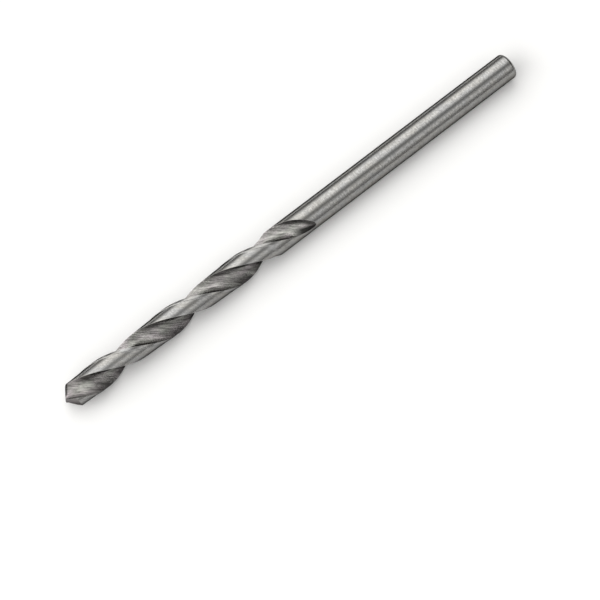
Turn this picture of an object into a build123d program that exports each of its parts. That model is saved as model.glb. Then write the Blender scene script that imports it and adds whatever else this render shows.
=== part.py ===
"""Parallel-shank twist drill: right-hand helix, two flutes, 118 degree point.

The drill lies along X with its axis on the X axis. The origin is the centre of
the shank's end face and the point is at +X. Angles about the axis are measured
from +Y towards +Z, which is also the way the drill turns when it cuts.
"""
from build123d import *
import math
import os

# ---- Driving dimensions, millimetres and degrees ---------------------------------
drill_diameter = 3.0         # across the margins at the point
shank_diameter = 2.98        # the body tapers down to this where the flutes end
overall_length = 61.0
flute_length = 32.7          # from the point to where the flutes leave the surface
helix_lead_length = 18.55    # advance for one full turn of a flute
flute_opening = 99.0         # around the drill, from a cutting edge to the heel ahead
flute_run_out = 5.0          # length over which a flute gets shallower
web_at_point = 0.60          # core left between the flutes at the point
web_at_run_out = 0.85        # the core grows thicker towards the shank
margin_width = 0.36          # full-diameter strip behind each cutting edge
margin_clearance = 0.04      # step down from the margin to the rest of the land
heel_clearance = 0.14        # depth the land has been ground to at its heel
heel_overrun = 30.0          # way that grinding runs on past the heel, into the flute
clearance_length = 29.5      # from the point to where that grinding ends
clearance_fade = 2.4         # length over which it fades out
shank_end_radius = 0.38      # rounding of the shank's end

point_angle = 118.0          # between the two lips
edge_roll = 68.5             # turn of the first cutting edge at the point

# Each flank is part of a grinding cone that touches the drill along its lip.
flank_cone_half_angle = 30.0
flank_cone_reach = 3.6       # from the cone's apex to the drill's axis, along the lip
flank_cone_offset = 0.80     # cone axis ahead of the drill's axis, gives the relief

heel_lean = 12.0             # flute wall at the heel, from the radial direction
heel_handle = 0.50           # how far that wall runs on before it bends to the core
core_handle = 0.42           # how far the flute's floor runs on round the core
lift_angle = 36.0            # way the flute lifts out, ahead of its cutting edge
tool_overcut = 0.4           # cutters stand this far outside the drill
flute_roof_radius = 3.8      # height of the flute cutter's outside, from the axis

# ---- Values worked out from them -------------------------------------------------
drill_radius = drill_diameter / 2
half_point = math.radians(point_angle / 2)
twist_rate = 2 * math.pi / helix_lead_length
outer_radius = drill_radius + tool_overcut
flute_turn = math.radians(flute_opening)
margin_turn = margin_width / drill_radius
flute_count = 2
flute_pitch = 2 * math.pi / flute_count
land_turn = flute_pitch - flute_turn
rake_points = 7
sections_per_turn = 12
section_spacing = helix_lead_length / sections_per_turn


def polar(radius, angle):
    """Point across the drill at a radius and an angle, as (y, z)."""
    return radius * math.cos(angle), radius * math.sin(angle)


def turned(point, angle):
    """A point across the drill turned about the axis."""
    y, z = point
    return (y * math.cos(angle) - z * math.sin(angle),
            y * math.sin(angle) + z * math.cos(angle))


def moved(point, distance, angle):
    """A point across the drill moved in one direction."""
    dy, dz = polar(distance, angle)
    return point[0] + dy, point[1] + dz


def edge_angle(station):
    """Turn of the first cutting edge at a distance back from the point."""
    return math.radians(edge_roll) - station * twist_rate


def half_web(station):
    """Half the core's thickness at a distance back from the point."""
    share = station / flute_length
    return (web_at_point + (web_at_run_out - web_at_point) * share) / 2


def rake_point(run, web):
    """Point of the rake wall whose lip is straight on the point's cone.

    run is the distance from the core along the lip, seen from the point. The lip
    point started further from the shank, so it has turned further by this station.
    """
    return turned((run, web), run / math.tan(half_point) * twist_rate)


def rake_angle(radius, web):
    """Angle of the rake wall at a radius, from the direction of the lip."""
    run = math.sqrt(radius ** 2 - web ** 2)
    y, z = rake_point(run, web)
    return math.atan2(z, y)


def flute_lift(station):
    """How far the grinding wheel has lifted out of the flute."""
    start = flute_length - flute_run_out
    if station <= start:
        return 0.0
    depth = drill_radius - web_at_run_out / 2 * math.cos(math.radians(lift_angle))
    return depth * ((station - start) / flute_run_out) ** 2


def flute_section(station, turn):
    """Section of the tool that grinds one flute."""
    web = half_web(station)
    corner = rake_angle(drill_radius, web)
    run_out = math.sqrt(outer_radius ** 2 - web ** 2)
    rake = [rake_point(run_out * i / (rake_points - 1), web) for i in range(rake_points)]
    heel_angle = corner + flute_turn
    wall_angle = heel_angle - math.radians(heel_lean)
    heel = polar(drill_radius, heel_angle)
    heel_outside = moved(heel, tool_overcut, wall_angle)
    roof = polar(flute_roof_radius, corner + flute_turn / 2)

    lift = flute_lift(station)
    lift_direction = corner + math.radians(lift_angle)
    spin = edge_angle(station) + turn - corner
    x = overall_length - station

    def place(point):
        y, z = turned(moved(point, lift, lift_direction), spin)
        return Vector(x, y, z)

    even = [i / (rake_points - 1) for i in range(rake_points)]
    core = rake[0]
    rake_wall = Edge.make_spline([place(p) for p in rake], parameters=even)
    heel_wall = Bezier(place(heel), place(moved(heel, -heel_handle, wall_angle)),
                       place(moved(core, -core_handle, 0)), place(core))
    heel_exit = Line(place(heel_outside), place(heel))
    cover = Bezier(place(rake[-1]), place(roof), place(heel_outside))
    return Face(Wire([heel_exit, heel_wall, rake_wall, cover]))


def clearance_section(station, turn):
    """Section of the ring that grinds one land down, deeper towards its heel."""
    fade = max(0.0, 1 - (clearance_length - station) / clearance_fade)
    rise = fade * (heel_clearance + tool_overcut)
    outside = outer_radius + heel_clearance + tool_overcut
    cleared_turn = land_turn - margin_turn
    ring_turn = cleared_turn + math.radians(heel_overrun)
    first = edge_angle(station) + turn - margin_turn
    x = overall_length - station

    def ground(share):
        """Point on the ground surface, by the share of the ring's turn."""
        depth = ((heel_clearance - margin_clearance) * share * ring_turn / cleared_turn
                 + margin_clearance)
        return Vector(x, *polar(drill_radius - depth + rise, first - share * ring_turn))

    def clear(share):
        """Point on the ring's outside, by the same share."""
        return Vector(x, *polar(outside, first - share * ring_turn))

    return Face(Wire([
        ThreePointArc(ground(0), ground(0.5), ground(1)),
        Line(ground(1), clear(1)),
        ThreePointArc(clear(1), clear(0.5), clear(0)),
        Line(clear(0), ground(0)),
    ]))


def stations(start, end):
    """Evenly spaced distances back from the point, both ends included."""
    count = max(2, math.ceil((end - start) / section_spacing))
    return [start + (end - start) * i / count for i in range(count + 1)]


def flute_tool(turn):
    """The whole cut of one flute, from in front of the point to the run-out."""
    run_out_start = flute_length - flute_run_out
    ahead = stations(-drill_radius, run_out_start)
    rising = stations(run_out_start, flute_length + tool_overcut)
    return loft([flute_section(s, turn) for s in ahead + rising[1:]])


def clearance_tool(turn):
    """The whole cut behind one margin."""
    fade_start = clearance_length - clearance_fade
    level = stations(-drill_radius, fade_start)
    fading = stations(fade_start, clearance_length)
    return loft([clearance_section(s, turn) for s in level + fading[1:]])


def flank_cone(turn):
    """Grinding cone whose inside is kept under one lip."""
    lip_turn = edge_angle(0) + turn - rake_angle(drill_radius, half_web(0))
    cone_angle = math.radians(flank_cone_half_angle)
    height = 2 * overall_length

    def to_world(along, ahead, back):
        """From lip direction, way of turning and way to the shank to X, Y, Z."""
        y, z = turned((along, ahead), lip_turn)
        return Vector(-back, y, z)

    apex = (-flank_cone_reach * math.sin(half_point), flank_cone_offset,
            -flank_cone_reach * math.cos(half_point))
    tilt = half_point - cone_angle
    axis = (math.sin(tilt), 0, math.cos(tilt))
    # The cone's surface crosses the drill's axis at this depth below its ridge.
    a = axis[2] ** 2 - math.cos(cone_angle) ** 2
    dot = -(apex[0] * axis[0] + apex[2] * axis[2])
    square = apex[0] ** 2 + apex[1] ** 2 + apex[2] ** 2
    b = 2 * (dot * axis[2] + apex[2] * math.cos(cone_angle) ** 2)
    c = dot ** 2 - square * math.cos(cone_angle) ** 2
    drop = (-b + math.sqrt(b ** 2 - 4 * a * c)) / (2 * a)
    origin = to_world(*apex) + Vector(overall_length + drop, 0, 0)
    plane = Plane(origin=origin, z_dir=to_world(*axis))
    cone = Cone(0, height * math.tan(cone_angle), height,
                align=(Align.CENTER, Align.CENTER, Align.MIN))
    return plane * cone


def blank():
    """Ground rod: round-ended shank, then a body that widens slightly to the point."""
    shank_radius = shank_diameter / 2
    shank_length = overall_length - flute_length
    upright = (Align.CENTER, Align.CENTER, Align.MIN)
    shank = Cylinder(shank_radius, shank_length, align=upright)
    shank = fillet(shank.edges().group_by(Axis.Z)[0], shank_end_radius)
    body = Cone(shank_radius, drill_radius, flute_length, align=upright)
    along_x = Rotation(0, 90, 0)
    return along_x * (shank + Pos(0, 0, shank_length) * body)


def twist_drill():
    """The finished drill as one solid."""
    turns = [number * flute_pitch for number in range(flute_count)]
    drill = blank()
    for turn in turns:
        drill -= clearance_tool(turn)
    for turn in turns:
        drill -= flute_tool(turn)
    for turn in turns:
        drill &= flank_cone(turn)
    return drill


os.makedirs("parts", exist_ok=True)
drill_bit = twist_drill().solid()
drill_bit.label = "drill_bit"
export_step(drill_bit, "parts/drill_bit.step")
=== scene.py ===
import math

import bpy
import numpy as np
from mathutils import Matrix, Vector


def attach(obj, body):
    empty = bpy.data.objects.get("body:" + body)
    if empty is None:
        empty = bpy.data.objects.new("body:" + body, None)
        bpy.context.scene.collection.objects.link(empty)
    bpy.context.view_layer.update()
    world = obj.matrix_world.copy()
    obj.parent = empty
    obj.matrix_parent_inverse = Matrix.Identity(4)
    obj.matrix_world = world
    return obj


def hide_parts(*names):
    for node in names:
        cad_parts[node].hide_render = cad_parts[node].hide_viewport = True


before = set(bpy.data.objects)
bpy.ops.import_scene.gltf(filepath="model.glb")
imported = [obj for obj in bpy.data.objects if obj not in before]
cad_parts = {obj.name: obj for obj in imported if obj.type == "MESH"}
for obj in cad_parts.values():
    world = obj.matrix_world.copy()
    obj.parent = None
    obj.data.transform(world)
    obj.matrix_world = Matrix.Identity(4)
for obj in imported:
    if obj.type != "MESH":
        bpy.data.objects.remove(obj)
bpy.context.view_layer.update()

MM = 0.001

# ---- The drill's dimensions, millimetres and degrees -----------------------------
DRILL_RADIUS = 1.5
SHANK_RADIUS = 1.49
OVERALL_LENGTH = 61.0
FLUTE_LENGTH = 32.7
HELIX_LEAD = 18.55
FLUTE_OPENING = 99.0
FLUTE_RUN_OUT = 5.0
WEB_AT_POINT = 0.60
WEB_AT_RUN_OUT = 0.85
MARGIN_WIDTH = 0.36
MARGIN_CLEARANCE = 0.04
HEEL_CLEARANCE = 0.14
CLEARANCE_LENGTH = 29.5
CLEARANCE_FADE = 2.4
SHANK_END_RADIUS = 0.38
POINT_ANGLE = 118.0
EDGE_ROLL = 68.5
CONE_HALF_ANGLE = 30.0
CONE_REACH = 3.6
CONE_OFFSET = 0.80
HEEL_LEAN = 12.0
HEEL_HANDLE = 0.50
CORE_HANDLE = 0.42
LIFT_ANGLE = 36.0
OVERCUT = 0.4

# ---- How finely the mesh is laid out ---------------------------------------------
MARGIN_COLUMNS = 6
STEP_COLUMNS = 3
LAND_COLUMNS = 24
FLUTE_COLUMNS = 64
RING_SPACING = 0.12
TIP_RINGS = 16
TIP_BLEND_END = 2.6          # below this the rings stop following the point's shape
FLANK_RINGS = 12
STEP_RUN = 0.05              # width of the ramp down behind a margin
EDGE_ROUND = 0.010           # how far each lip and margin edge is broken
HEEL_ROUND = 0.030

TWIST_RATE = 2 * math.pi / HELIX_LEAD
HALF_POINT = math.radians(POINT_ANGLE / 2)
FLUTE_TURN = math.radians(FLUTE_OPENING)
MARGIN_TURN = MARGIN_WIDTH / DRILL_RADIUS
LAND_TURN = math.pi - FLUTE_TURN
RUN_OUT_START = FLUTE_LENGTH - FLUTE_RUN_OUT


# ---- Section of the fluted body --------------------------------------------------
def turned(points, angle):
    c, s = math.cos(angle), math.sin(angle)
    return points @ np.array([[c, s], [-s, c]])


def ray(radius, angle):
    return np.array([radius * math.cos(angle), radius * math.sin(angle)])


def half_web(s):
    return (WEB_AT_POINT + (WEB_AT_RUN_OUT - WEB_AT_POINT) * s / FLUTE_LENGTH) / 2


def body_radius(s):
    if s >= FLUTE_LENGTH:
        return SHANK_RADIUS
    return SHANK_RADIUS + (DRILL_RADIUS - SHANK_RADIUS) * (1 - s / FLUTE_LENGTH)


def land_radius(s, behind):
    """Radius of the land, by the angle behind the cutting edge."""
    fade = max(0.0, 1 - (CLEARANCE_LENGTH - s) / CLEARANCE_FADE)
    share = np.maximum(behind - MARGIN_TURN, 0.0) / (LAND_TURN - MARGIN_TURN)
    depth = MARGIN_CLEARANCE + (HEEL_CLEARANCE - MARGIN_CLEARANCE) * share
    cut = DRILL_RADIUS - depth + fade * (HEEL_CLEARANCE + OVERCUT)
    return np.minimum(cut, body_radius(s))


def rake_points(run, web):
    """Rake wall that gives a straight lip on the point's cone."""
    angle = run / math.tan(HALF_POINT) * TWIST_RATE
    y = run * np.cos(angle) - web * np.sin(angle)
    z = run * np.sin(angle) + web * np.cos(angle)
    return np.stack([y, z], axis=1)


def flute_curve(s):
    """Wall of one flute from outside its heel to outside its cutting edge.

    The cutting edge lies at angle 0.
    """
    web = half_web(s)
    at_edge = rake_points(np.array([math.sqrt(DRILL_RADIUS ** 2 - web ** 2)]), web)[0]
    corner = math.atan2(at_edge[1], at_edge[0])
    last_run = math.sqrt((DRILL_RADIUS + OVERCUT) ** 2 - web ** 2)
    rake = rake_points(np.linspace(0, last_run, 420), web)
    wall_angle = corner + FLUTE_TURN - math.radians(HEEL_LEAN)
    heel = ray(DRILL_RADIUS, corner + FLUTE_TURN)
    core = rake[0]
    t = np.linspace(0, 1, 420)[:, None]
    wall = ((1 - t) ** 3 * heel
            + 3 * (1 - t) ** 2 * t * (heel - ray(HEEL_HANDLE, wall_angle))
            + 3 * (1 - t) * t ** 2 * (core - np.array([CORE_HANDLE, 0.0]))
            + t ** 3 * core)
    exit_line = heel + np.linspace(1, 0, 40)[:-1, None] * ray(OVERCUT, wall_angle)
    points = turned(np.concatenate([exit_line, wall, rake[1:]]), -corner)
    if s > RUN_OUT_START:
        depth = DRILL_RADIUS - WEB_AT_RUN_OUT / 2 * math.cos(math.radians(LIFT_ANGLE))
        lift = depth * ((s - RUN_OUT_START) / FLUTE_RUN_OUT) ** 2
        points = points + ray(lift, math.radians(LIFT_ANGLE))
    return points


def along(points, count):
    """Evenly spaced points along a polyline, both ends included."""
    steps = np.hypot(*np.diff(points, axis=0).T)
    length = np.concatenate([[0], np.cumsum(steps)])
    at = np.linspace(0, length[-1], count)
    return np.stack([np.interp(at, length, points[:, 0]),
                     np.interp(at, length, points[:, 1])], axis=1)


def crossing(inner, outer, inner_gap, outer_gap):
    share = inner_gap / (inner_gap - outer_gap)
    return inner + (outer - inner) * share


def open_flute(s):
    """The stretch of a flute's wall that is inside the body, or None once it has ended."""
    points = flute_curve(s)
    radius = np.hypot(points[:, 0], points[:, 1])
    angle = np.arctan2(points[:, 1], points[:, 0])
    gap = radius - body_radius(s)
    heel_gap = radius - land_radius(s, math.pi - angle)
    deepest = int(np.argmin(radius))
    if gap[deepest] >= -1e-4:
        return None
    first = deepest
    while heel_gap[first] < 0:
        first -= 1
    last = deepest
    while gap[last] < 0:
        last += 1
    start = crossing(points[first + 1], points[first], heel_gap[first + 1], heel_gap[first])
    end = crossing(points[last - 1], points[last], gap[last - 1], gap[last])
    return np.concatenate([[start], points[first + 1:last], [end]])


def rounded(before, corner, after):
    """Three points that break a corner."""
    t = np.array([0.25, 0.5, 0.75])[:, None]
    return (1 - t) ** 2 * before + 2 * (1 - t) * t * corner + t ** 2 * after


def toward(start, end, distance):
    step = end - start
    return start + step * min(0.45, distance / max(1e-9, float(np.hypot(*step))))


def half_section(s, closed=None):
    """Half the body's section from one cutting edge back to the next one.

    Returns the points and which of the columns lie in the flute. Past the flutes' end
    the flute columns all lie at the point where the flute closes.
    """
    wall = open_flute(s)
    if wall is None:
        wall = np.repeat(closed[None, :], 2, axis=0)
    edge_angle = math.atan2(wall[-1][1], wall[-1][0])
    heel_angle = math.atan2(wall[0][1], wall[0][0]) - math.pi
    margin = [ray(body_radius(s), a)
              for a in np.linspace(edge_angle, -MARGIN_TURN, MARGIN_COLUMNS)]
    ramp = STEP_RUN / DRILL_RADIUS
    step = []
    for i in range(1, STEP_COLUMNS + 1):
        share = i / STEP_COLUMNS
        eased = share * share * (3 - 2 * share)
        a = -MARGIN_TURN - ramp * share
        low = float(land_radius(s, -a))
        step.append(ray(body_radius(s) + (low - body_radius(s)) * eased, a))
    land = [ray(float(land_radius(s, -a)), a)
            for a in np.linspace(-MARGIN_TURN - ramp, heel_angle, LAND_COLUMNS + 1)[1:]]
    inner = -along(wall, FLUTE_COLUMNS)
    outer = np.array(margin + step + land)
    width = float(np.hypot(*(wall[-1] - wall[0])))
    edge_round = min(EDGE_ROUND, width * 0.2)
    heel_round = min(HEEL_ROUND, width * 0.2)
    lip = outer[0]
    lip_before = toward(lip, -inner[-2], edge_round)
    lip_after = toward(lip, outer[1], edge_round)
    heel = inner[0]
    heel_before = toward(heel, outer[-2], heel_round)
    heel_after = toward(heel, inner[1], heel_round)
    points = np.concatenate([
        [lip_before], rounded(lip_before, lip, lip_after), [lip_after], outer[1:-1],
        [heel_before], rounded(heel_before, heel, heel_after), [heel_after], inner[1:-1]])
    in_flute = np.zeros(len(points), dtype=bool)
    in_flute[5 + len(outer) - 2 + 3:] = True
    in_flute[0] = True
    return points, in_flute


# ---- Grinding cones of the two flanks --------------------------------------------
def cone_depth(points, lip_turn):
    """Distance back from the point to one flank cone over points across the drill."""
    local = turned(points, -lip_turn)
    half = math.radians(CONE_HALF_ANGLE)
    cos2 = math.cos(half) ** 2
    tilt = HALF_POINT - half
    axis = (math.sin(tilt), math.cos(tilt))
    apex = (-CONE_REACH * math.sin(HALF_POINT), CONE_OFFSET)

    def surface(y, z):
        dy = y - apex[0]
        dz = z - apex[1]
        a = axis[1] ** 2 - cos2
        b = 2 * dy * axis[0] * axis[1]
        c = (dy * axis[0]) ** 2 - (dy ** 2 + dz ** 2) * cos2
        return (-b + np.sqrt(b * b - 4 * a * c)) / (2 * a)

    return surface(local[:, 0], local[:, 1]) - surface(0.0, 0.0)


def lip_turn(number):
    web = half_web(0)
    at_edge = rake_points(np.array([math.sqrt(DRILL_RADIUS ** 2 - web ** 2)]), web)[0]
    return (math.radians(EDGE_ROLL) + number * math.pi
            - math.atan2(at_edge[1], at_edge[0]))


def point_depth(points):
    """Distance back from the tip to the ground point over points across the drill."""
    return np.maximum(cone_depth(points, lip_turn(0)), cone_depth(points, lip_turn(1)))


def twist(s):
    return math.radians(EDGE_ROLL) - s * TWIST_RATE


# ---- Mesh ------------------------------------------------------------------------
class Shell:
    """Rings of points joined into quads, with grinding coordinates on each corner."""

    def __init__(self):
        self.points = []
        self.faces = []
        self.coords = []
        self.kinds = []

    def add(self, points):
        start = len(self.points)
        self.points.extend(points)
        return start

    def face(self, corners, coords, kind):
        kept, kept_coords = [], []
        for corner, coord in zip(corners, coords):
            if corner not in kept:
                kept.append(corner)
                kept_coords.append(coord)
        if len(kept) > 2:
            self.faces.append(kept)
            self.coords.extend(kept_coords)
            self.kinds.append(kind)


FLUTE, LAND, FLANK, SHANK = 0, 1, 2, 3


def closing_station():
    low, high = RUN_OUT_START, FLUTE_LENGTH + 1.0
    for _ in range(40):
        middle = (low + high) / 2
        if open_flute(middle) is None:
            high = middle
        else:
            low = middle
    return low


def drill_shell():
    shell = Shell()
    end = closing_station()
    last_wall = open_flute(end)
    closed = ray(body_radius(end), math.atan2(*last_wall.mean(axis=0)[::-1]))

    # Fine sections near the point, to start every column on the ground point.
    fine_step = 0.02
    fine_count = int(round((TIP_BLEND_END + 0.4) / fine_step)) + 1
    fine_s = -0.2 + fine_step * np.arange(fine_count)
    fine = np.array([half_section(s)[0] for s in fine_s])
    in_flute = half_section(1.0)[1]
    full = np.concatenate([fine, -fine], axis=1)
    columns = full.shape[1]
    half = columns // 2

    def local_at(station, column):
        at = (station - fine_s[0]) / fine_step
        i = int(min(max(math.floor(at), 0), fine_count - 2))
        share = at - i
        return full[i, column] * (1 - share) + full[i + 1, column] * share

    def world_at(station, column):
        y, z = turned(local_at(station, column)[None, :], twist(station))[0]
        return y, z

    turned_fine = np.array([turned(full[i], twist(fine_s[i])) for i in range(fine_count)])
    start_s = np.zeros(columns)
    for column in range(columns):
        path = turned_fine[:, column]
        over = fine_s - point_depth(path)
        k = int(np.argmax(over > 0))
        share = over[k - 1] / (over[k - 1] - over[k])
        start_s[column] = fine_s[k - 1] + fine_step * share

    arc = np.zeros(half + 1)
    middle_ring = half_section(3.0)[0]
    around = np.concatenate([middle_ring, -middle_ring[:1]])
    arc[1:] = np.cumsum(np.hypot(*np.diff(around, axis=0).T))

    def ring_points(station):
        if station <= TIP_BLEND_END:
            local = np.array([local_at(station, c) for c in range(columns)])
        else:
            section = half_section(station, closed)[0]
            local = np.concatenate([section, -section])
        across = turned(local, twist(station))
        return [(OVERALL_LENGTH - station, y, z) for y, z in across]

    rings = []
    stations = []
    for ring in range(TIP_RINGS + 1):
        share = ring / TIP_RINGS
        at = start_s + (TIP_BLEND_END - start_s) * share ** 1.3
        points = []
        for column in range(columns):
            y, z = world_at(at[column], column)
            points.append((OVERALL_LENGTH - at[column], y, z))
        rings.append(shell.add(points))
        stations.append(at)
    count = int(math.ceil((RUN_OUT_START - TIP_BLEND_END) / RING_SPACING))
    body = list(np.linspace(TIP_BLEND_END, RUN_OUT_START, count + 1)[1:])
    count = 70
    rise = end - RUN_OUT_START
    body += [end - rise * (1 - i / count) ** 1.6 for i in range(1, count)]
    for station in body:
        rings.append(shell.add(ring_points(station)))
        stations.append(np.full(columns, station))

    def quads(first, second, first_s, second_s):
        for column in range(columns):
            side, j = divmod(column, half)
            nxt = (column + 1) % columns
            kind = FLUTE if in_flute[j] and in_flute[(j + 1) % half] else LAND
            low = side * 20.0 + arc[j]
            high = side * 20.0 + arc[j + 1]
            shell.face(
                [first + column, second + column, second + nxt, first + nxt],
                [(first_s[column], low), (second_s[column], low),
                 (second_s[nxt], high), (first_s[nxt], high)], kind)

    for i in range(len(rings) - 1):
        quads(rings[i], rings[i + 1], stations[i], stations[i + 1])

    # Where the flutes have ended, only the outside's columns go on.
    outside = [c for c in range(columns) if not in_flute[c % half]]
    end_turn = twist(end)
    base = half_section(end, closed)[0]
    base = turned(np.concatenate([base, -base]), end_turn)
    angles = [math.atan2(base[c][1], base[c][0]) for c in outside]
    count = len(outside)

    def plain_ring(x, radius):
        return shell.add([(x, radius * math.cos(a), radius * math.sin(a)) for a in angles])

    first_plain = plain_ring(OVERALL_LENGTH - end, body_radius(end))
    last = rings[-1]
    last_s = stations[-1]
    # The last open ring is tied to the closed one through its outside columns; each
    # flute's columns fan to the point where the flute ends.
    position = {c: i for i, c in enumerate(outside)}
    for column in range(columns):
        side, j = divmod(column, half)
        nxt = (column + 1) % columns
        a = position.get(column)
        b = position.get(nxt)
        if a is None:
            a = nearest_outside(column, outside, columns, position)
        if b is None:
            b = nearest_outside(nxt, outside, columns, position)
        kind = FLUTE if in_flute[j] and in_flute[(j + 1) % half] else LAND
        low, high = side * 20.0 + arc[j], side * 20.0 + arc[j + 1]
        shell.face([last + column, first_plain + a, first_plain + b, last + nxt],
                   [(last_s[0], low), (end, low), (end, high), (last_s[0], high)], kind)

    # Shank with its rounded end.
    profile = [(x, SHANK_RADIUS) for x in np.linspace(OVERALL_LENGTH - end - 0.3, 1.0, 60)]
    shoulder = SHANK_RADIUS - SHANK_END_RADIUS
    for a in np.linspace(0, math.pi / 2, 15):
        profile.append((SHANK_END_RADIUS * (1 - math.sin(a)),
                        shoulder + SHANK_END_RADIUS * math.cos(a)))
    profile += [(0.0, r) for r in (0.95, 0.6, 0.3, 0.1)]
    previous = first_plain
    previous_x = OVERALL_LENGTH - end
    run = 0.0
    reach = body_radius(end)
    for x, radius in profile:
        current = plain_ring(x, radius)
        step = math.hypot(x - previous_x, radius - reach)
        for i in range(count):
            nxt = (i + 1) % count
            v0 = 40.0 + i * 2 * math.pi * SHANK_RADIUS / count
            v1 = 40.0 + (i + 1) * 2 * math.pi * SHANK_RADIUS / count
            shell.face([previous + i, current + i, current + nxt, previous + nxt],
                       [(run, v0), (run + step, v0), (run + step, v1), (run, v1)], SHANK)
        previous, previous_x, reach = current, x, radius
        run += step
    centre = shell.add([(0.0, 0.0, 0.0)])
    for i in range(count):
        nxt = (i + 1) % count
        shell.face([previous + i, centre, previous + nxt],
                   [(run, 0.0), (run + 0.1, 0.0), (run, 0.1)], SHANK)

    # Flanks: from the rim of the point in to its centre.
    rim = np.array(shell.points[rings[0]:rings[0] + columns])[:, 1:]
    previous = rings[0]
    for ring in range(1, FLANK_RINGS):
        share = 1 - ring / FLANK_RINGS
        across = rim * share
        depth = point_depth(across)
        current = shell.add([(OVERALL_LENGTH - d, y, z) for d, (y, z) in zip(depth, across)])
        outer = rim * (1 - (ring - 1) / FLANK_RINGS)
        for column in range(columns):
            nxt = (column + 1) % columns
            shell.face([current + column, previous + column, previous + nxt, current + nxt],
                       [tuple(across[column]), tuple(outer[column]),
                        tuple(outer[nxt]), tuple(across[nxt])], FLANK)
        previous = current
    tip = shell.add([(OVERALL_LENGTH, 0.0, 0.0)])
    inner = rim / FLANK_RINGS
    for column in range(columns):
        nxt = (column + 1) % columns
        shell.face([tip, previous + column, previous + nxt],
                   [(0.0, 0.0), tuple(inner[column]), tuple(inner[nxt])], FLANK)
    return shell


def nearest_outside(column, outside, columns, position):
    """Index of the outside column that a flute column closes on."""
    best = min(outside, key=lambda c: min((c - column) % columns, (column - c) % columns))
    return position[best]


def mesh_object(name, shell, materials):
    mesh = bpy.data.meshes.new(name)
    mesh.from_pydata([(x * MM, y * MM, z * MM) for x, y, z in shell.points], [],
                     [tuple(f) for f in shell.faces])
    layer = mesh.uv_layers.new(name="ground")
    layer.data.foreach_set("uv", np.array(shell.coords, dtype=np.float32).ravel())
    for material in materials:
        mesh.materials.append(material)
    mesh.polygons.foreach_set("material_index", np.array(shell.kinds, dtype=np.int32))
    mesh.polygons.foreach_set("use_smooth", np.ones(len(shell.faces), dtype=bool))
    mesh.update()
    mesh.set_sharp_from_angle(angle=math.radians(38))
    piece = bpy.data.objects.new(name, mesh)
    bpy.context.scene.collection.objects.link(piece)
    return piece


# ---- Materials -------------------------------------------------------------------
class Nodes:
    """Short way to write a material's nodes."""

    def __init__(self, name):
        self.material = bpy.data.materials.new(name)
        self.material.use_nodes = True
        self.tree = self.material.node_tree
        self.shader = self.tree.nodes["Principled BSDF"]

    def node(self, kind, inputs=None, **settings):
        made = self.tree.nodes.new(kind)
        for key, value in settings.items():
            setattr(made, key, value)
        for key, value in (inputs or {}).items():
            self.put(made.inputs[key], value)
        return made

    def put(self, socket, value):
        if isinstance(value, bpy.types.NodeSocket):
            self.tree.links.new(value, socket)
        else:
            socket.default_value = value

    def set(self, name, value):
        self.put(self.shader.inputs[name], value)

    def noise(self, vector, scale, detail=3.0, roughness=0.55, distortion=0.0):
        made = self.node("ShaderNodeTexNoise", {
            "Vector": vector, "Scale": scale, "Detail": detail,
            "Roughness": roughness, "Distortion": distortion})
        return made.outputs["Fac"]

    def mapped(self, vector, scale=(1, 1, 1), turn=0.0, shift=(0, 0, 0)):
        made = self.node("ShaderNodeMapping", {
            "Vector": vector, "Scale": scale, "Rotation": (0, 0, turn), "Location": shift})
        return made.outputs["Vector"]

    def span(self, value, low, high, to_low, to_high):
        made = self.node("ShaderNodeMapRange", {
            "Value": value, "From Min": low, "From Max": high,
            "To Min": to_low, "To Max": to_high})
        return made.outputs["Result"]

    def maths(self, operation, first, second):
        made = self.node("ShaderNodeMath", operation=operation)
        self.put(made.inputs[0], first)
        self.put(made.inputs[1], second)
        return made.outputs[0]

    def tint(self, factor, first, second):
        made = self.node("ShaderNodeMix", data_type="RGBA")
        self.put(made.inputs["Factor"], factor)
        self.put(made.inputs["A"], first)
        self.put(made.inputs["B"], second)
        return made.outputs["Result"]

    def times(self, first, second):
        made = self.node("ShaderNodeMix", data_type="RGBA", blend_type="MULTIPLY")
        self.put(made.inputs["Factor"], 1.0)
        self.put(made.inputs["A"], first)
        self.put(made.inputs["B"], second)
        return made.outputs["Result"]

    def bump(self, height, strength, depth, normal=None):
        made = self.node("ShaderNodeBump", {
            "Height": height, "Strength": strength, "Distance": depth})
        if normal is not None:
            self.put(made.inputs["Normal"], normal)
        return made.outputs["Normal"]


# Painted shade: the steel's colour is darker on the sides that face down, by the height of
# the surface's normal, from where it starts to where it is full, and what is left of the
# colour there.
NEAR_TILT, NEAR_PAINTED_SHADE = (0.62, 0.50), 0.62
FAR_TILT, FAR_PAINTED_SHADE = (0.81, 0.71), 0.38


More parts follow.
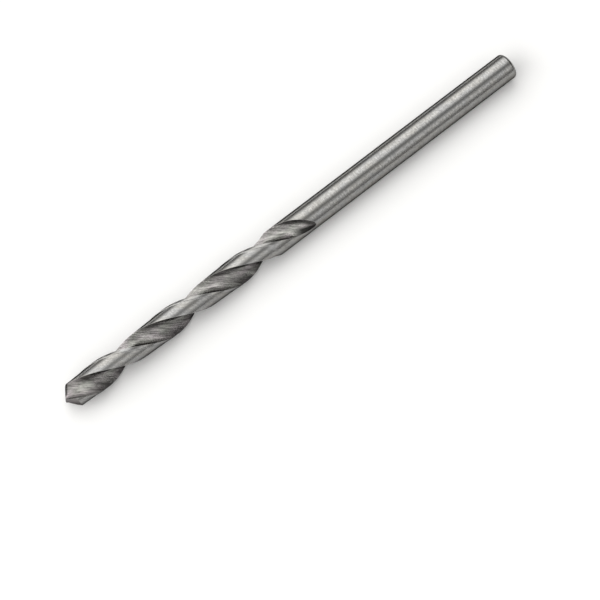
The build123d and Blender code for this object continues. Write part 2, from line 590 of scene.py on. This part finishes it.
def ground_steel(name, turn, fine, long, roughness, bump_depth, dark, light, spotted,
                 tints):
    """Ground steel whose marks run in one direction over the surface, with painted shade on
    the sides that face down.

    fine and long are how many marks there are per millimetre, across and along them,
    and spotted is the share of the shading that has no direction. Returns the nodes, the
    grinding coordinates, the colour and the roughness.
    """
    n = Nodes(name)
    uv = n.node("ShaderNodeUVMap", uv_map="ground").outputs["UV"]
    lay = n.mapped(uv, turn=turn)
    marks = n.noise(n.mapped(lay, scale=(long, fine, 1)), 1.0, detail=5.0, roughness=0.62)
    broad = n.noise(n.mapped(lay, scale=(long * 0.6, fine * 0.22, 1), shift=(3, 7, 0)), 1.0,
                    detail=3.0)
    spots = n.noise(n.mapped(uv, scale=(4.0, 4.0, 1), shift=(11, 2, 0)), 1.0, detail=4.0,
                    roughness=0.7)
    lined = 1.0 - spotted
    shade = n.maths("ADD", n.maths("MULTIPLY", marks, lined * 0.6),
                    n.maths("ADD", n.maths("MULTIPLY", broad, lined * 0.4),
                            n.maths("MULTIPLY", spots, spotted)))
    colour = n.tint(n.span(shade, 0.41, 0.59, 0.0, 1.0), dark, light)
    cast = n.noise(n.mapped(uv, scale=(0.45, 0.8, 1), shift=(5, 9, 0)), 1.0, detail=2.0)
    cast = n.tint(n.span(cast, 0.38, 0.62, 0.0, 1.0), *tints)
    # Painted shade: the colour darkens on the sides that face down, more on the far side
    # than on the near side.
    facing = n.node("ShaderNodeSeparateXYZ", {
        "Vector": n.node("ShaderNodeNewGeometry").outputs["Normal"]})
    side = n.span(facing.outputs["Y"], -0.1, 0.1, 0.0, 1.0)
    near = n.span(facing.outputs["Z"], NEAR_TILT[0], NEAR_TILT[1], 1.0, NEAR_PAINTED_SHADE)
    far = n.span(facing.outputs["Z"], FAR_TILT[0], FAR_TILT[1], 1.0, FAR_PAINTED_SHADE)
    painted_underside_shade = n.maths("ADD", n.maths("MULTIPLY", near, side),
                        n.maths("MULTIPLY", far, n.maths("SUBTRACT", 1.0, side)))
    colour = n.times(n.times(colour, cast), painted_underside_shade)
    rough = n.span(shade, 0.38, 0.62, roughness[1], roughness[0])
    n.set("Base Color", colour)
    n.set("Metallic", 1.0)
    n.set("Specular Tint", (0.10, 0.10, 0.10, 1))
    n.set("Roughness", rough)
    n.set("Normal", n.bump(n.maths("ADD", n.maths("MULTIPLY", marks, 0.7),
                                   n.maths("MULTIPLY", broad, 0.5)), 1.0, bump_depth))
    return n, uv, colour, rough


# Painted shade where a flute is shut in, and plain darkening where the flutes run out.
FLUTE_PAINTED_SHADE = 0.12           # what is left of the colour where a flute is most shut in
RUN_OUT_DARKENING = 0.14         # and where the flutes run out, by the cutting edge
EXIT_DARKENING = 0.40            # and along the wall where they leave the surface
POINT_BRIGHTNESS = 1.45      # the last millimetres are ground brighter

# Faint casts of colour that come and go over the steel.
MAUVE, GREEN = (1.03, 0.98, 1.01, 1), (0.98, 1.0, 0.955, 1)
WARM, COOL = (1.01, 1.0, 0.975, 1), (0.985, 0.995, 1.01, 1)


def flute_steel_with_painted_shade():
    """The flutes' steel: coarse marks across, painted shade in the recesses by ambient
    occlusion, and darker where the flutes run out.
    """
    n, uv, colour, rough = ground_steel(
        "flute_steel", math.radians(-35), 11.0, 0.8, (0.18, 0.34), 6.0e-5,
        (0.13, 0.128, 0.125, 1), (0.60, 0.59, 0.58, 1), 0.12, (MAUVE, GREEN))
    split = n.node("ShaderNodeSeparateXYZ", {"Vector": uv})
    along = split.outputs["X"]
    across = n.maths("MODULO", split.outputs["Y"], 20.0)
    # Painted shade: the colour darkens in the flutes' recesses by ambient occlusion, the
    # floor included.
    opening = n.node("ShaderNodeAmbientOcclusion", {"Distance": 3.0 * MM}, samples=8)
    kept = n.span(opening.outputs["AO"], 0.40, 0.85, FLUTE_PAINTED_SHADE, 1.0)
    # Darker steel by the cutting edge where the flutes run out, along the wall where they
    # leave the surface, and at their end.
    by_edge = n.maths("MULTIPLY", n.span(along, 29.9, 30.9, 0.0, 1.0),
                      n.span(across, 3.45, 3.95, 0.0, 1.0))
    by_exit = n.maths("MULTIPLY", n.span(along, 29.6, 30.6, 0.0, 1.0),
                      n.span(across, 2.5, 3.0, 1.0, 0.0))
    at_end = n.span(along, 31.3, 31.9, 0.0, 1.0)
    kept = n.maths("MULTIPLY", kept, n.span(by_edge, 0.0, 1.0, 1.0, RUN_OUT_DARKENING))
    kept = n.maths("MULTIPLY", kept, n.span(n.maths("MAXIMUM", by_exit, at_end),
                                            0.0, 1.0, 1.0, EXIT_DARKENING))
    bright = n.times(colour, n.span(along, 2.0, 3.6, POINT_BRIGHTNESS, 1.0))
    n.set("Base Color", n.tint(kept, (0, 0, 0, 1), bright))
    n.set("Roughness", n.maths("ADD", rough, n.span(along, 2.0, 3.6, 0.34, 0.0)))
    return n.material


def plain_steel(*settings):
    """Ground steel with its painted shade on the downward sides, and nothing more laid over
    it.
    """
    return ground_steel(*settings)[0].material


flute_steel = flute_steel_with_painted_shade()
land_steel = plain_steel(
    "land_steel", 0.0, 8.0, 1.2, (0.16, 0.30), 4.0e-6,
    (0.33, 0.326, 0.32, 1), (0.49, 0.485, 0.475, 1), 0.5, (WARM, COOL))
flank_steel = plain_steel(
    "flank_steel", 0.6, 10.0, 0.8, (0.28, 0.42), 8.0e-6,
    (0.34, 0.333, 0.333, 1), (0.46, 0.45, 0.447, 1), 0.2, (MAUVE, WARM))
shank_steel = plain_steel(
    "shank_steel", math.pi / 2, 7.0, 1.0, (0.16, 0.28), 3.0e-6,
    (0.33, 0.326, 0.32, 1), (0.49, 0.485, 0.475, 1), 0.5, (WARM, COOL))

drill = mesh_object("drill_ground", drill_shell(),
                    [flute_steel, land_steel, flank_steel, shank_steel])
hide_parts("drill_bit")
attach(drill, "root")

# ---- Floor, lights and camera ----------------------------------------------------
FLOOR_LEVEL = -DRILL_RADIUS * MM


def paper_material(name, colour):
    n = Nodes(name)
    n.set("Base Color", colour)
    n.set("Roughness", 0.9)
    return n.material


def panel(name, corners, material):
    mesh = bpy.data.meshes.new(name)
    mesh.from_pydata(corners, [], [(0, 1, 2, 3)])
    mesh.materials.append(material)
    made = bpy.data.objects.new(name, mesh)
    bpy.context.scene.collection.objects.link(made)
    return made


TARGET = Vector((34.807, 6.269, -1.5)) * MM
AZIMUTH, ELEVATION = math.radians(139.59), math.radians(64.5)
BACK = Vector((math.sin(AZIMUTH) * math.cos(ELEVATION),
               -math.cos(AZIMUTH) * math.cos(ELEVATION), math.sin(ELEVATION)))
RIGHT = Vector((math.cos(AZIMUTH), math.sin(AZIMUTH), 0))
UP = BACK.cross(RIGHT)

camera_data = bpy.data.cameras.new("camera")
camera_data.sensor_width = 36.0
camera_data.lens = 192.91
camera_data.clip_start = 0.01
camera = bpy.data.objects.new("camera", camera_data)
camera.matrix_world = (Matrix.Translation(TARGET + BACK * 0.336)
                       @ Matrix((RIGHT, UP, BACK)).transposed().to_4x4())
bpy.context.scene.collection.objects.link(camera)
bpy.context.scene.camera = camera

floor_white = paper_material("floor_white", (0.93, 0.93, 0.93, 1))
reach = 0.35
floor = panel("floor", [(-reach, -reach, FLOOR_LEVEL), (reach, -reach, FLOOR_LEVEL),
                        (reach, reach, FLOOR_LEVEL), (-reach, reach, FLOOR_LEVEL)],
              floor_white)

# Light of the studio, by its angle from straight up: negative towards the near side,
# positive towards the far side. SHANK_LIGHT is what the drill's round surfaces show: the
# far side's big soft box, the dark gap where the camera stands, a weaker box on the near
# side and both horizons dark. POINT_LIGHT is the even light beyond the drill's point.
SHANK_LIGHT = [
    (-95, 0.12), (-84, 0.20), (-73, 0.32), (-64, 0.55), (-55, 0.82), (-46, 0.94),
    (-38, 0.82), (-30, 0.52), (-22, 0.26), (-13, 0.22), (-5, 0.48), (3, 0.92),
    (12, 1.32), (29, 1.62), (48, 1.40), (56, 1.00), (64, 0.50), (72, 0.20), (82, 0.06),
    (95, 0.04)]
POINT_LIGHT = [
    (-95, 0.30), (-75, 0.55), (-55, 0.70), (-35, 0.80), (-15, 1.00), (5, 1.25),
    (30, 1.45), (60, 1.60), (80, 0.90), (95, 0.20)]
END_BOX = 2.6                # beyond the point, low down
CURTAIN = 0.06               # what is left of the light beyond the shank's end
NEAR_CURTAIN = 0.20          # and of the low near light on that side

world = bpy.data.worlds.new("world")
world.use_nodes = True
tree = world.node_tree


def world_maths(operation, first, second=None):
    made = tree.nodes.new("ShaderNodeMath")
    made.operation = operation
    for socket, value in zip(made.inputs, (first, second)):
        if isinstance(value, bpy.types.NodeSocket):
            tree.links.new(value, socket)
        elif value is not None:
            socket.default_value = value
    return made.outputs[0]


def world_step(value, low, high, to_low, to_high):
    made = tree.nodes.new("ShaderNodeMapRange")
    made.interpolation_type = "SMOOTHSTEP"
    for name, setting in (("Value", value), ("From Min", low), ("From Max", high),
                          ("To Min", to_low), ("To Max", to_high)):
        if isinstance(setting, bpy.types.NodeSocket):
            tree.links.new(setting, made.inputs[name])
        else:
            made.inputs[name].default_value = setting
    return made.outputs["Result"]


def light_by_lean(lean, table):
    """Light that follows a table of angles from straight up and levels."""
    brightest = 2.0
    low, high = table[0][0], table[-1][0]
    place = world_maths("DIVIDE", world_maths("SUBTRACT", lean, math.radians(low)),
                        math.radians(high - low))
    ramp = tree.nodes.new("ShaderNodeValToRGB")
    tree.links.new(place, ramp.inputs["Fac"])
    stops = ramp.color_ramp.elements
    for number, (angle, light) in enumerate(table):
        at = (angle - low) / (high - low)
        stop = stops[number] if number < 2 else stops.new(at)
        stop.position = at
        stop.color = (light / brightest, light / brightest, light / brightest, 1)
    return world_maths("MULTIPLY", ramp.outputs["Color"], brightest)


direction = tree.nodes.new("ShaderNodeTexCoord").outputs["Generated"]
split = tree.nodes.new("ShaderNodeSeparateXYZ")
tree.links.new(direction, split.inputs[0])
to_point = split.outputs["X"]
lean = world_maths("ARCTAN2", world_maths("MULTIPLY", split.outputs["Y"], -1.0),
                   split.outputs["Z"])
beyond = world_step(to_point, -0.20, 0.0, 0.0, 1.0)
shank_side = world_maths("MULTIPLY", light_by_lean(lean, SHANK_LIGHT),
                         world_maths("SUBTRACT", 1.0, beyond))
point_side = world_maths("MULTIPLY", light_by_lean(lean, POINT_LIGHT), beyond)
curtain = world_step(to_point, -0.80, -0.50, CURTAIN, 1.0)
near = world_step(lean, math.radians(-60), math.radians(-44), 1.0, 0.0)
near_curtain = world_maths(
    "SUBTRACT", 1.0, world_maths(
        "MULTIPLY", near, world_step(to_point, -0.52, -0.38, 1.0 - NEAR_CURTAIN, 0.0)))
end_box = world_maths("MULTIPLY", world_step(to_point, 0.60, 0.75, 0.0, END_BOX),
                      world_step(split.outputs["Z"], 0.10, 0.25, 0.0, 1.0))
open_light = world_maths("ADD", shank_side, point_side)
light = world_maths("ADD", end_box, world_maths(
    "MULTIPLY", open_light, world_maths("MULTIPLY", curtain, near_curtain)))
background = tree.nodes["Background"]
background.inputs["Color"].default_value = (1.0, 0.995, 0.98, 1)
tree.links.new(light, background.inputs["Strength"])
bpy.context.scene.world = world

bpy.context.scene.view_settings.view_transform = "Standard"
